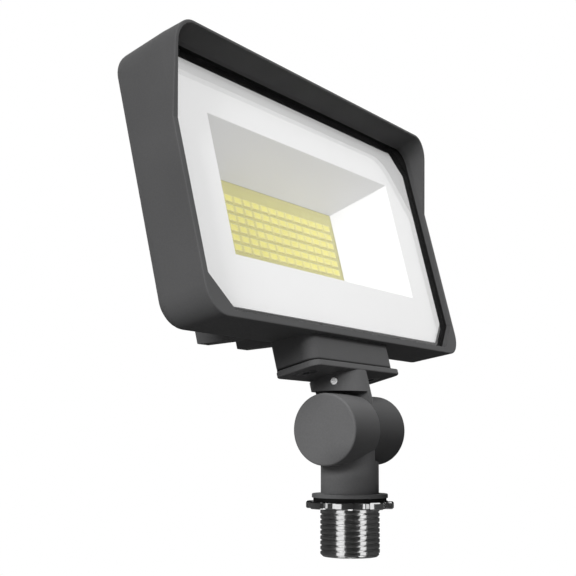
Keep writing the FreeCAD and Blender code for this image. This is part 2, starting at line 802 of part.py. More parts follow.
def knuckle_half(side, length):
    """Half barrel on one side of the seam, hollow for the leads, with radial teeth on its face."""
    face = side * half_gap
    barrel = x_rod(KNUCKLE_RADIUS, face, side * length)
    barrel = barrel.makeFillet(KNUCKLE_EDGE, edges_at(barrel, "x", side * length))
    space_end = side * WIRE_SPACE_DEPTH
    space = x_rod(WIRE_SPACE_OUTER, face, space_end).cut(x_rod(WIRE_SPACE_INNER, face, space_end))
    grooves = []
    radii = (TEETH_INNER, TEETH_OUTER)
    for index in range(TEETH):
        ends = []
        for radius in radii:
            ends.append(Part.makePolygon([
                vec(face - side * OVERCUT, -TEETH_GROOVE_WIDTH, radius),
                vec(face + side * TEETH_DEPTH, 0, radius),
                vec(face - side * OVERCUT, TEETH_GROOVE_WIDTH, radius),
                vec(face - side * OVERCUT, -TEETH_GROOVE_WIDTH, radius),
            ]))
        groove = Part.makeLoft(ends, True, True)
        groove.rotate(vec(0, 0, 0), vec(1, 0, 0), index * 360 / TEETH)
        grooves.append(groove)
    return barrel.cut(space).cut(Part.makeCompound(grooves))


def wire_channel(side, z_low, z_high):
    return z_rod(WIRE_CHANNEL_RADIUS, z_low, z_high, side * WIRE_CHANNEL_OFFSET)


def make_upper_arm():
    """Plate, neck and the half barrel that holds the bolt's head."""
    space = (WIRE_SPACE_INNER + WIRE_SPACE_OUTER) / 2
    plate_top = PLATE_HEIGHT + PLATE_THICKNESS
    reach = 2 * UPPER_NECK_RADIUS
    under = block((-reach, half_gap), (-reach, reach), (-reach, KNUCKLE_RADIUS + UPPER_NECK_GAP))
    under.rotate(vec(0, 0, 0), vec(1, 0, 0), UPPER_NECK_SLOPE)
    neck = z_rod(UPPER_NECK_RADIUS, 0, PLATE_HEIGHT).cut(under)
    neck = neck.cut(x_rod(KNUCKLE_RADIUS - KNUCKLE_EDGE, -UPPER_NECK_RADIUS, UPPER_NECK_RADIUS))
    barrel = knuckle_half(1, KNUCKLE_BOLT_HALF)
    plate = arm_plate()
    outlines = edges_at(plate, "z", PLATE_HEIGHT) + edges_at(plate, "z", plate_top)
    body = fused([plate.makeFillet(PLATE_EDGE, outlines), neck, barrel])
    cuts = [
        wire_channel(1, space, plate_top + OVERCUT),
        x_rod(BOLT_RADIUS + BOLT_CLEARANCE, -OVERCUT, bolt_seat + OVERCUT),
        x_rod(BOLT_HEAD_RADIUS + BOLT_HEAD_ROOM, bolt_seat, KNUCKLE_BOLT_HALF + OVERCUT),
        set_screw_bar(SET_SCREW_RADIUS + SCREW_ROOM, SET_SCREW_LENGTH + SCREW_ROOM, OVERCUT),
    ]
    for tool in cuts:
        body = body.cut(tool)
    for x in arm_screw_places():
        body = body.cut(countersunk_bar(x, SCREW_PASS))
    return body


def set_screw_bar(radius, length, outside):
    """Round bar square to the neck's surface, from outside it down to the screw's inner end."""
    angle = math.radians(SET_SCREW_ANGLE)
    out = vec(math.cos(angle), math.sin(angle), 0)
    centre = vec(0, 0, SET_SCREW_HEIGHT)
    surface = UPPER_NECK_RADIUS - SET_SCREW_SINK
    return rod(radius, centre + out * (surface + outside), centre + out * (surface - length))


def countersunk_bar(x, room):
    """Countersunk screw from under the plate up into the boss, grown by a margin."""
    head = Part.makeCone(
        ARM_SCREW_HEAD_RADIUS + room,
        ARM_SCREW_RADIUS + room,
        ARM_SCREW_HEAD_HEIGHT,
        vec(x, boss_middle_y, PLATE_HEIGHT),
    )
    shank = z_rod(ARM_SCREW_RADIUS + room, PLATE_HEIGHT, boss_bottom + ARM_SCREW_BITE, x, boss_middle_y)
    return head.fuse(shank)


def make_arm_gasket():
    low = PLATE_HEIGHT + PLATE_THICKNESS
    gasket = boss_block(low, boss_bottom)
    holes = [z_rod(GROMMET_BORE_RADIUS, low - OVERCUT, boss_bottom + OVERCUT, WIRE_CHANNEL_OFFSET)]
    for x in arm_screw_places():
        holes.append(z_rod(ARM_SCREW_RADIUS + SCREW_PASS, low - OVERCUT, boss_bottom + OVERCUT,
                           x, boss_middle_y))
    return gasket.cut(Part.makeCompound(holes))


def make_arm_screws():
    return Part.makeCompound([countersunk_bar(x, 0) for x in arm_screw_places()])


def make_set_screw():
    return set_screw_bar(SET_SCREW_RADIUS, SET_SCREW_LENGTH, 0)


def make_lower_arm():
    """Half barrel with the bolt's thread, neck, and the flange above the sealing washer."""
    space = (WIRE_SPACE_INNER + WIRE_SPACE_OUTER) / 2
    flange_low = flange_bottom - KNUCKLE_HEIGHT
    flange_high = flange_top - KNUCKLE_HEIGHT
    spigot_end = flange_low + SPIGOT_LENGTH
    neck = z_rod(LOWER_NECK_RADIUS, flange_low, 0)
    neck = neck.cut(x_rod(LOWER_NECK_RELIEF, -half_gap, LOWER_NECK_RELIEF))
    neck = neck.cut(x_rod(KNUCKLE_RADIUS - KNUCKLE_EDGE, -LOWER_NECK_RADIUS, LOWER_NECK_RADIUS))
    flange = z_rod(FLANGE_RADIUS, flange_low, flange_high)
    flange = flange.makeFillet(FLANGE_EDGE, edges_at(flange, "z", flange_high))
    body = fused([neck, flange, knuckle_half(-1, KNUCKLE_PLAIN_HALF)])
    groove_depth = half_gap + 2 * O_RING_SECTION + O_RING_ROOM + O_RING_FACE_GAP - SEAM_GAP
    groove_wall = O_RING_SECTION + O_RING_ROOM
    groove = x_rod(O_RING_RADIUS + groove_wall, -groove_depth, 0)
    groove = groove.cut(x_rod(O_RING_RADIUS - groove_wall, -groove_depth, 0))
    cuts = [
        groove,
        wire_channel(-1, spigot_end - OVERCUT, -space),
        x_rod(BOLT_RADIUS + BOLT_THREAD_ROOM, -BOLT_REACH - SCREW_ROOM, 0),
        z_rod(SPIGOT_RADIUS + SPIGOT_ROOM, flange_low - OVERCUT, spigot_end + SPIGOT_ROOM),
    ]
    for tool in cuts:
        body = body.cut(tool)
    return body


def make_knuckle_o_ring():
    centre_x = half_gap - O_RING_FACE_GAP - O_RING_SECTION
    return Part.makeTorus(O_RING_RADIUS, O_RING_SECTION, vec(centre_x, 0, 0), vec(1, 0, 0))


def make_knuckle_bolt():
    """Socket head bolt along the knuckle's axis, into the thread in the lower arm."""
    head_seat = bolt_seat + LOCK_WASHER_THICKNESS
    head_end = head_seat + BOLT_HEAD_HEIGHT
    head = x_rod(BOLT_HEAD_RADIUS, head_seat, head_end)
    shank = x_rod(BOLT_RADIUS, -BOLT_REACH, head_seat)
    corner = BOLT_SOCKET_FLATS / math.sqrt(3)
    turns = [math.radians(60 * step) for step in range(7)]
    points = [vec(head_end + OVERCUT, corner * math.cos(a), corner * math.sin(a)) for a in turns]
    socket = Part.Face(Part.makePolygon(points)).extrude(vec(-BOLT_SOCKET_DEPTH - OVERCUT, 0, 0))
    return fused([head, shank]).cut(socket)


def make_lock_washer():
    """Split spring washer, drawn pressed flat."""
    end = bolt_seat + LOCK_WASHER_THICKNESS
    ring = x_rod(LOCK_WASHER_RADIUS, bolt_seat, end)
    ring = ring.cut(x_rod(BOLT_RADIUS + BOLT_CLEARANCE, bolt_seat, end))
    half = LOCK_WASHER_SPLIT / 2
    split = block((bolt_seat - OVERCUT, end + OVERCUT), (-half, half), (0, LOCK_WASHER_RADIUS + OVERCUT))
    return ring.cut(split)


def make_threaded_stub():
    """Plain form of the thread, with a spigot that is held in the arm and a bore for the leads."""
    end = -THREAD_FREE_LENGTH
    body = z_rod(THREAD_RADIUS, end, flange_bottom)
    rims = [edge for edge in body.Edges if abs(edge.BoundBox.ZMax - end) < 1e-4]
    body = body.makeChamfer(THREAD_CHAMFER, rims)
    stop = z_ring(THREAD_RADIUS + OVERCUT, THREAD_RADIUS - THREAD_STOP_DEPTH, 0, THREAD_STOP_WIDTH)
    spigot_end = flange_bottom + SPIGOT_LENGTH
    spigot = z_rod(SPIGOT_RADIUS, flange_bottom, spigot_end)
    bore = z_rod(STUB_BORE_RADIUS, end - OVERCUT, spigot_end + OVERCUT)
    return fused([body.cut(stop), spigot]).cut(bore)


def make_sealing_washer():
    low = locknut_top + FACE_GAP
    return z_ring(SEALING_WASHER_RADIUS, THREAD_RADIUS + THREAD_ROOM, low, washer_top)


def make_locknut():
    """Stamped ring with lugs round its edge."""
    ring = z_rod(LOCKNUT_RADIUS, FACE_GAP, locknut_top)
    disc = z_rod(LOCKNUT_LUG_RADIUS, FACE_GAP, locknut_top)
    half = LOCKNUT_LUG_WIDTH / 2
    lugs = []
    for index in range(LOCKNUT_LUGS):
        lug = block((0, LOCKNUT_LUG_RADIUS + OVERCUT), (-half, half), (FACE_GAP, locknut_top))
        lug.rotate(vec(0, 0, 0), vec(0, 0, 1), (index + 0.5) * 360 / LOCKNUT_LUGS)
        lugs.append(lug.common(disc))
    hole = z_rod(THREAD_RADIUS + THREAD_ROOM, FACE_GAP - OVERCUT, locknut_top + OVERCUT)
    return fused([ring] + lugs).cut(hole)


head_pieces = {
    "housing": make_housing,
    "lens_glass": make_lens_glass,
    "lens_seal": make_lens_seal,
    "reflector": make_reflector,
    "led_board": make_led_board,
    "led_chips": make_led_chips,
    "led_connector": make_led_connector,
    "led_board_screws": make_led_board_screws,
    "thermal_pad": make_thermal_pad,
    "driver_board": make_driver_board,
    "driver_transformer": make_driver_transformer,
    "driver_capacitors": make_driver_capacitors,
    "driver_terminals": make_driver_terminals,
    "driver_screws": make_driver_screws,
    "led_leads": make_led_leads,
    "lead_grommet": make_lead_grommet,
    "upper_arm": make_upper_arm,
    "arm_gasket": make_arm_gasket,
    "arm_screws": make_arm_screws,
    "set_screw": make_set_screw,
    "knuckle_bolt": make_knuckle_bolt,
    "lock_washer": make_lock_washer,
}
knuckle_pieces = {
    "lower_arm": make_lower_arm,
    "knuckle_o_ring": make_knuckle_o_ring,
}
thread_pieces = {
    "threaded_stub": make_threaded_stub,
    "sealing_washer": make_sealing_washer,
    "locknut": make_locknut,
}

os.makedirs("parts", exist_ok=True)
for name, make in head_pieces.items():
    aimed(make()).exportStep("parts/" + name + ".step")
for name, make in knuckle_pieces.items():
    raised(make()).exportStep("parts/" + name + ".step")
for name, make in thread_pieces.items():
    make().exportStep("parts/" + name + ".step")
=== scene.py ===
import math
import bpy
import bmesh
from mathutils import Matrix, Vector


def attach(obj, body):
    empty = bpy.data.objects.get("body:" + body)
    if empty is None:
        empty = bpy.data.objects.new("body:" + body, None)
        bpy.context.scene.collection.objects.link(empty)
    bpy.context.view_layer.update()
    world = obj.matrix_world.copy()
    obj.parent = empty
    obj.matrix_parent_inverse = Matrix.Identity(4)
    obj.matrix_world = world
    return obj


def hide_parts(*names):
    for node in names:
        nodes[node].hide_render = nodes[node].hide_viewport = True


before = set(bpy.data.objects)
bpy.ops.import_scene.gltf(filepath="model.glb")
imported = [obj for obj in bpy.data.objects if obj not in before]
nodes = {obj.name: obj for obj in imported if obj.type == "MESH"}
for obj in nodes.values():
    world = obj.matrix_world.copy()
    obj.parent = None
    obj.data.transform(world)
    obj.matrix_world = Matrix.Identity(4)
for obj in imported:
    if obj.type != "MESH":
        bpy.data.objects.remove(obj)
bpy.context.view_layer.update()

# Sizes in metres, most of them from the part's source
MM = 0.001
AIM = math.radians(14.25)
KNUCKLE_HEIGHT = 28.0 * MM
HEAD_MIDDLE = 81.0 * MM

THREAD_RADIUS = 10.67 * MM
THREAD_PITCH = 1.814 * MM
THREAD_DEPTH = 0.55 * MM
THREAD_END = -16.8 * MM
THREAD_TOP = 3.9 * MM
THREAD_CHAMFER = 0.9 * MM
THREAD_ROOT_SHARE = 0.08
THREAD_FLANK_SHARE = 0.34
THREAD_LEVELS = 16
STUB_STEPS = 120
STUB_BORE = 6.0 * MM
SPIGOT_RADIUS = 8.6 * MM
SPIGOT_TOP = 10.7 * MM

NUT_LOW = 0.05 * MM
NUT_HIGH = 2.6 * MM
NUT_HOLE = 10.72 * MM
NUT_RADIUS = 13.6 * MM
NUT_LUG_RADIUS = 15.8 * MM
NUT_LUG_HALF = 3.1 * MM
NUT_LUGS = 8
NUT_EDGE = 0.4 * MM
NUT_LUG_STEPS = 3
NUT_VALLEY_STEPS = 7

LED_COLUMNS = 13
LED_ROWS = 6
LED_PITCH_X = 69.4 / (LED_COLUMNS - 1) * MM
LED_PITCH_U = 3.86 * MM
LED_HALF_X = 2.5 * MM
LED_HALF_U = 1.6 * MM
LED_FRONT = 10.7 * MM
LED_BACK = 11.4 * MM
LED_MIDDLE = 78.6 * MM
LED_CORNER_STEPS = 3
# Inset and corner radius in millimetres, and the depth, from the package's back to its phosphor
LED_SECTIONS = [
    (0.0, 0.25, LED_BACK),
    (0.05, 0.25, LED_BACK - 0.1 * MM),
    (0.30, 0.3, LED_FRONT + 0.08 * MM),
    (0.38, 0.3, LED_FRONT),
    (0.46, 0.35, LED_FRONT),
    (0.54, 0.4, LED_FRONT + 0.10 * MM),
    (1.1, 0.4, LED_FRONT + 0.05 * MM),
]
LED_PHOSPHOR_FROM = 5

SCREW_STEPS = 36
ARM_SCREW_X = 23.5 * MM
ARM_SCREW_V = -0.8 * MM
ARM_SCREW_LOW = 19.8 * MM
ARM_SCREW_HEAD = 4.0 * MM
ARM_SCREW_RIM = 0.15 * MM
ARM_SCREW_NECK = 2.0 * MM
ARM_SCREW_SINK = 2.0 * MM
ARM_SCREW_TOP = 29.8 * MM
ARM_SCREW_TIP_SHARE = 0.8
ARM_SCREW_TIP_LENGTH = 0.6 * MM
ARM_SOCKET_MOUTH = 2.7 * MM
ARM_SOCKET_FLATS = 2.5 * MM
ARM_SOCKET_LEAD = 0.1 * MM
ARM_SOCKET_DEPTH = 1.3 * MM

SET_SCREW_TURN = math.radians(199.5)
SET_SCREW_HEIGHT = 17.0 * MM
SET_SCREW_FACE = 10.55 * MM
SET_SCREW_LENGTH = 5.0 * MM
SET_SCREW_RADIUS = 1.3 * MM
SET_SCREW_RIM = 0.15 * MM
SET_SCREW_TIP_SHARE = 0.6
SET_SCREW_TIP_LENGTH = 0.6 * MM
SET_SOCKET_MOUTH = 1.20 * MM
SET_SOCKET_FLATS = 1.10 * MM
SET_SOCKET_LEAD = 0.05 * MM
SET_SOCKET_DEPTH = 0.5 * MM

RECESS_HALF = 88.0 * MM
RECESS_LOW = 33.7 * MM
RECESS_HIGH = 128.3 * MM
RECESS_FRONT = -10.0 * MM
RECESS_BACK = -4.0 * MM
RECESS_CORNER = 132.0 * MM
PANE_FRONT = -9.5 * MM
PANE_BACK = -6.5 * MM
PANE_EDGE = 0.5 * MM
PANE_HALF = 87.0 * MM
PANE_TALL = 46.5 * MM
PANE_CORNER = 10.707 * MM
PANE_BED = 0.02 * MM


def head_point(x, v, u):
    """Row frame point of a point in the head's frame: v to the back, u up the neck."""
    y = v * math.cos(AIM) + u * math.sin(AIM)
    z = u * math.cos(AIM) - v * math.sin(AIM)
    return Vector((x, y, z + KNUCKLE_HEIGHT))


# Shader nodes

NOISE_RANGE = (0.3, 0.7)
NOISE_SUM_RANGE = (0.7, 1.3)
DRIFT_SCALE = 40.0
MIX_COLOUR_A = 6
MIX_COLOUR_B = 7
MIX_COLOUR_RESULT = 2


def new_material(name):
    mat = bpy.data.materials.new(name)
    mat.use_nodes = True
    tree = mat.node_tree
    return mat, tree, tree.nodes["Principled BSDF"]


def add(tree, kind, inputs=None, **settings):
    made = tree.nodes.new(kind)
    for key, value in settings.items():
        setattr(made, key, value)
    for key, value in (inputs or {}).items():
        made.inputs[key].default_value = value
    return made


def calc(tree, operation, *values):
    """Math node on sockets and plain numbers."""
    made = add(tree, "ShaderNodeMath", operation=operation)
    for socket, value in zip(made.inputs, values):
        if isinstance(value, float):
            socket.default_value = value
        else:
            tree.links.new(value, socket)
    return made.outputs["Value"]


def blend(tree, factor, first, second):
    """Surface that goes from the first shader to the second with a factor."""
    mix = add(tree, "ShaderNodeMixShader")
    tree.links.new(factor, mix.inputs["Fac"])
    tree.links.new(first, mix.inputs[1])
    tree.links.new(second, mix.inputs[2])
    return mix.outputs["Shader"]


def coords(tree):
    return add(tree, "ShaderNodeTexCoord").outputs["Object"]


def noise(tree, vector, scale, detail=2.0):
    made = add(tree, "ShaderNodeTexNoise", {"Scale": scale, "Detail": detail, "Roughness": 0.5})
    tree.links.new(vector, made.inputs["Vector"])
    return made.outputs["Fac"]


def ramp(tree, factor, stops):
    """Colour ramp from two (place, colour) stops."""
    made = add(tree, "ShaderNodeValToRGB")
    for element, (place, colour) in zip(made.color_ramp.elements, stops):
        element.position = place
        element.color = (*colour, 1.0)
    tree.links.new(factor, made.inputs["Fac"])
    return made.outputs["Color"]


def spread(tree, factor, low, high, source=NOISE_RANGE):
    """A factor carried from its source range to low and high."""
    made = add(tree, "ShaderNodeMapRange", {
        "From Min": source[0], "From Max": source[1], "To Min": low, "To Max": high,
    })
    tree.links.new(factor, made.inputs["Value"])
    return made.outputs["Result"]


def bump(tree, shader, height, strength, distance):
    made = add(tree, "ShaderNodeBump", {"Strength": strength, "Distance": distance})
    tree.links.new(height, made.inputs["Height"])
    tree.links.new(made.outputs["Normal"], shader.inputs["Normal"])


def within(tree, value, low, high):
    """1 where a value lies between two levels, and 0 elsewhere."""
    above = calc(tree, "GREATER_THAN", value, low)
    below = calc(tree, "LESS_THAN", value, high)
    return calc(tree, "MULTIPLY", above, below)


def shade(colour, factor):
    return tuple(channel * factor for channel in colour)


def grey(level):
    return (level, level, level)


# Materials

def mottled(name, colour, rough, grain, vary=0.08, relief=0.15, relief_depth=0.0001,
            metallic=0.0, specular=0.5):
    """Surface with a fine grain, a wide drift of colour and an uneven gloss."""
    mat, tree, shader = new_material(name)
    place = coords(tree)
    fine = noise(tree, place, grain, 3.0)
    drift = noise(tree, place, DRIFT_SCALE)
    both = spread(tree, calc(tree, "ADD", fine, drift), 0.0, 1.0, NOISE_SUM_RANGE)
    stops = [(0.0, shade(colour, 1 - vary)), (1.0, shade(colour, 1 + vary))]
    tree.links.new(ramp(tree, both, stops), shader.inputs["Base Color"])
    tree.links.new(spread(tree, fine, rough[0], rough[1]), shader.inputs["Roughness"])
    shader.inputs["Metallic"].default_value = metallic
    shader.inputs["Specular IOR Level"].default_value = specular
    bump(tree, shader, fine, relief, relief_depth)
    return mat


def glass_material():
    """Clear glass that lets the lamps' light through, with a faint film on it."""
    mat, tree, shader = new_material("lens_clear")
    film = noise(tree, coords(tree), 90.0, 4.0)
    shader.inputs["Base Color"].default_value = (*grey(0.99), 1.0)
    shader.inputs["Transmission Weight"].default_value = 1.0
    shader.inputs["IOR"].default_value = 1.46
    tree.links.new(spread(tree, film, 0.0, 0.03), shader.inputs["Roughness"])
    clear = add(tree, "ShaderNodeBsdfTransparent", {"Color": (*grey(0.975), 1.0)})
    path = add(tree, "ShaderNodeLightPath")
    surface = shader.outputs["BSDF"]
    for kind in ("Is Diffuse Ray", "Is Shadow Ray"):
        surface = blend(tree, path.outputs[kind], surface, clear.outputs["BSDF"])
    tree.links.new(surface, tree.nodes["Material Output"].inputs["Surface"])
    return mat


def board_material(name, mask, copper, cell, share):
    """Printed board: solder mask, with tracks that stand a little proud under it."""
    mat, tree, shader = new_material(name)
    place = coords(tree)
    tracks = add(tree, "ShaderNodeTexBrick", {
        "Scale": cell, "Mortar Size": share, "Mortar Smooth": 0.3, "Color1": (*mask, 1.0),
        "Color2": (*shade(mask, 0.94), 1.0), "Mortar": (*copper, 1.0),
    })
    turn = add(tree, "ShaderNodeMapping", {"Rotation": (math.pi / 2 + AIM, 0.0, 0.0)})
    tree.links.new(place, turn.inputs["Vector"])
    tree.links.new(turn.outputs["Vector"], tracks.inputs["Vector"])
    tree.links.new(tracks.outputs["Color"], shader.inputs["Base Color"])
    gloss = spread(tree, noise(tree, place, 900.0), 0.32, 0.45)
    tree.links.new(gloss, shader.inputs["Roughness"])
    bump(tree, shader, tracks.outputs["Fac"], 0.3, 0.0001)
    return mat


def paint_recess_shade(mat):
    """Painted shade: near black, with no gloss, on the walls and corner pads of the recess that
    holds the glass, for the dark shadow gap round the glass.
    """
    tree = mat.node_tree
    shader = tree.nodes["Principled BSDF"]
    level = add(tree, "ShaderNodeMapping", {"Location": (0.0, 0.0, -KNUCKLE_HEIGHT)})
    turn = add(tree, "ShaderNodeVectorRotate", {"Axis": (1.0, 0.0, 0.0), "Angle": AIM})
    split = add(tree, "ShaderNodeSeparateXYZ")
    tree.links.new(coords(tree), level.inputs["Vector"])
    tree.links.new(level.outputs["Vector"], turn.inputs["Vector"])
    tree.links.new(turn.outputs["Vector"], split.inputs["Vector"])
    x, v, u = (split.outputs[axis] for axis in "XYZ")
    side = calc(tree, "ABSOLUTE", x)
    rise = calc(tree, "ABSOLUTE", calc(tree, "SUBTRACT", u, HEAD_MIDDLE))
    limits = [
        (v, RECESS_FRONT, RECESS_BACK),
        (u, RECESS_LOW, RECESS_HIGH),
        (calc(tree, "ADD", side, rise), 0.0, RECESS_CORNER),
    ]
    inside = within(tree, x, -RECESS_HALF, RECESS_HALF)
    for value, low, high in limits:
        inside = calc(tree, "MULTIPLY", inside, within(tree, value, low, high))
    # The painted shade: a near black mixed into the coat's colour where the mask is 1
    mix = add(tree, "ShaderNodeMix", data_type="RGBA")
    colour = shader.inputs["Base Color"].links[0].from_socket
    tree.links.new(inside, mix.inputs["Factor"])
    tree.links.new(colour, mix.inputs[MIX_COLOUR_A])
    mix.inputs[MIX_COLOUR_B].default_value = (*grey(0.010), 1.0)
    tree.links.new(mix.outputs[MIX_COLOUR_RESULT], shader.inputs["Base Color"])
    gloss = shader.inputs["Specular IOR Level"]
    tree.links.new(spread(tree, inside, gloss.default_value, 0.0, (0.0, 1.0)), gloss)


COAT = (0.069, 0.069, 0.070)
COAT_GRAIN = {"grain": 1500.0, "vary": 0.07, "relief": 0.22, "relief_depth": 0.00012}
powder_coat = mottled("powder_coat_grey", COAT, (0.52, 0.66), specular=0.10, **COAT_GRAIN)
# Painted shade in the glass's recess, drawn as black on the housing's coat
paint_recess_shade(powder_coat)
# Painted light: the neck's and the lower arm's coats are the housing's coat made 1.16 and 1.75
# times lighter, for the way the light falls on them
neck_coat_painted_light = mottled("powder_coat_neck_painted_light", shade(COAT, 1.16), (0.52, 0.66), specular=0.10,
                    **COAT_GRAIN)
arm_coat_painted_light = mottled("powder_coat_arm_painted_light", shade(COAT, 1.75), (0.48, 0.62), specular=0.08,
                   **COAT_GRAIN)
black_rubber = mottled("rubber_black", grey(0.009), (0.55, 0.75), grain=2200.0, vary=0.15,
                       relief=0.2, specular=0.08)
seal_silicone = mottled("silicone_black", grey(0.004), (0.60, 0.80), grain=2200.0, vary=0.15,
                        relief=0.2, specular=0.0)
reflector_white = mottled("reflector_satin", grey(0.82), (0.18, 0.24), grain=700.0, vary=0.006,
                          relief=0.02)
phosphor = mottled("phosphor_yellow", (0.84, 0.775, 0.143), (0.30, 0.42), grain=2600.0,
                   vary=0.06, relief=0.2)
package_white = mottled("package_cream", (0.80, 0.74, 0.26), (0.30, 0.40), grain=3000.0,
                        vary=0.04, relief=0.1)
thermal_grey = mottled("pad_grey", (0.30, 0.31, 0.33), (0.6, 0.75), grain=1400.0, vary=0.10,
                       relief=0.3)
core_dark = mottled("ferrite_dark", (0.035, 0.034, 0.036), (0.45, 0.65), grain=1800.0,
                    vary=0.18, relief=0.3)
capacitor_black = mottled("sleeve_black", (0.022, 0.022, 0.026), (0.22, 0.34), grain=900.0,
                          vary=0.12, relief=0.08)
terminal_white = mottled("nylon_white", (0.72, 0.71, 0.66), (0.38, 0.50), grain=1600.0,
                         vary=0.04, relief=0.12)
lead_red = mottled("insulation_red", (0.55, 0.05, 0.04), (0.32, 0.45), grain=1500.0, vary=0.08,
                   relief=0.1)
steel = mottled("zinc_steel", (0.62, 0.62, 0.61), (0.24, 0.40), grain=1100.0, vary=0.10,
                relief=0.12, metallic=1.0)
bright_zinc = mottled("zinc_bright", grey(0.74), (0.10, 0.18), grain=1300.0, vary=0.06,
                      relief=0.06, metallic=1.0)
# Painted highlight: the set screw is a near white matt surface, for the glint of its bright metal
screw_painted_highlight = mottled("zinc_painted_highlight", grey(0.98), (0.30, 0.40), grain=1500.0, vary=0.02,
                     relief=0.05)
nut_zinc = mottled("zinc_nut", grey(0.76), (0.06, 0.10), grain=1300.0, vary=0.05, relief=0.04,
                   metallic=1.0)
black_steel = mottled("oxide_steel", (0.045, 0.045, 0.048), (0.34, 0.46), grain=1300.0,
                      vary=0.14, relief=0.12, metallic=0.6)
lens_clear = glass_material()
# Painted shade and painted yellow bounce: the LED board's white mask is given a dark olive
# yellow, for the shade of the funnel's wall and the LEDs' light thrown back on it
board_painted_shade = board_material("board_mask_painted_shade", mask=(0.555, 0.52, 0.15),
                             copper=(0.52, 0.475, 0.13), cell=60.0, share=0.03)
board_green = board_material("board_green_mask", mask=(0.02, 0.11, 0.04),
                             copper=(0.05, 0.20, 0.08), cell=120.0, share=0.05)

FINISHES = {
    "housing": powder_coat,
    "upper_arm": neck_coat_painted_light,
    "lower_arm": arm_coat_painted_light,
    "lens_seal": seal_silicone,
    "arm_gasket": black_rubber,
    "sealing_washer": black_rubber,
    "knuckle_o_ring": black_rubber,
    "lead_grommet": black_rubber,
    "reflector": reflector_white,
    "led_board": board_painted_shade,
    "led_connector": terminal_white,
    "led_board_screws": steel,
    "thermal_pad": thermal_grey,
    "driver_board": board_green,
    "driver_transformer": core_dark,
    "driver_capacitors": capacitor_black,
    "driver_terminals": terminal_white,
    "driver_screws": steel,
    "led_leads": lead_red,
    "lock_washer": steel,
    "knuckle_bolt": black_steel,
}
for name, finish in FINISHES.items():
    slots = nodes[name].data.materials
    if len(slots) == 0:
        slots.append(finish)
    for index in range(len(slots)):
        slots[index] = finish


# Pieces in mesh code

def finish_piece(name, points, faces, materials, body, replaced, smooth=40.0, pick=None):
    """Object from points and faces, with clean normals, that rides on a body."""
    mesh = bpy.data.meshes.new(name)
    mesh.from_pydata(points, [], faces)
    for mat in materials:
        mesh.materials.append(mat)
    if pick:
        for polygon, index in zip(mesh.polygons, pick):
            polygon.material_index = index
    form = bmesh.new()
    form.from_mesh(mesh)
    bmesh.ops.remove_doubles(form, verts=form.verts, dist=2e-7)
    bmesh.ops.dissolve_degenerate(form, edges=form.edges, dist=1e-7)
    bmesh.ops.recalc_face_normals(form, faces=form.faces)
    form.to_mesh(mesh)
    form.free()
    mesh.shade_smooth()
    mesh.set_sharp_from_angle(angle=math.radians(smooth))
    piece = bpy.data.objects.new(name, mesh)
    bpy.context.scene.collection.objects.link(piece)
    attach(piece, body)
    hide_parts(*replaced)


def loft(rings, closed=False):
    """Points and faces that join equal rings; closed joins the last ring to the first."""
    count = len(rings[0])
    points = [point for ring in rings for point in ring]
    faces = []
    for level in range(len(rings) if closed else len(rings) - 1):
        low = level * count
        high = (level + 1) % len(rings) * count
        for step in range(count):
            after = (step + 1) % count
            faces.append((low + step, low + after, high + after, high + step))
    return points, faces


def capped(rings):
    """Rings joined to a closed form, with flat ends."""
    points, faces = loft(rings)
    count = len(rings[0])
    faces.append(tuple(reversed(range(count))))
    faces.append(tuple(range(len(points) - count, len(points))))
    return points, faces


def circle(radius, height, count):
    turns = [2 * math.pi * step / count for step in range(count)]
    return [(radius * math.cos(turn), radius * math.sin(turn), height) for turn in turns]


def hexagon(flats, height, count):
    """Hexagon with its corners on a ring of the given number of points."""
    ring = []
    for step in range(count):
        turn = 2 * math.pi * step / count
        inside = (turn % (math.pi / 3)) - math.pi / 6
        radius = flats / 2 / math.cos(inside)
        ring.append((radius * math.cos(turn), radius * math.sin(turn), height))
    return ring


def thread_radius(turn, height):
    """Outer radius of the thread at a place, run out into the chamfer at the lower end."""
    phase = (height / THREAD_PITCH - turn / (2 * math.pi)) % 1.0
    rise = abs(2 * phase - 1)
    share = min(1.0, max(0.0, (rise - THREAD_ROOT_SHARE) / THREAD_FLANK_SHARE))
    radius = THREAD_RADIUS - THREAD_DEPTH * (1 - share)
    limit = THREAD_RADIUS - THREAD_CHAMFER + (height - THREAD_END)
    return min(radius, limit)


def make_stub():
    """Pipe stub with a real helical thread, its bore, and the spigot that the arm holds."""
    around = STUB_STEPS
    step_height = THREAD_PITCH / THREAD_LEVELS
    low = THREAD_END
    high = THREAD_TOP
    levels = int((high - low) / step_height) + THREAD_LEVELS + 2
    rings = [circle(STUB_BORE, SPIGOT_TOP, around), circle(STUB_BORE, low, around)]
    for level in range(levels):
        ring = []
        for step in range(around):
            turn = 2 * math.pi * step / around
            height = low - THREAD_PITCH + level * step_height + THREAD_PITCH * step / around
            height = min(high, max(low, height))
            radius = thread_radius(turn, height)
            ring.append((radius * math.cos(turn), radius * math.sin(turn), height))
        rings.append(ring)
    rings.append(circle(SPIGOT_RADIUS, high, around))
    rings.append(circle(SPIGOT_RADIUS, SPIGOT_TOP, around))
    return loft(rings, closed=True)


points, faces = make_stub()
finish_piece("threaded_pipe_stub", points, faces, [bright_zinc], "mount_arm",
             ["threaded_stub"], smooth=28.0)


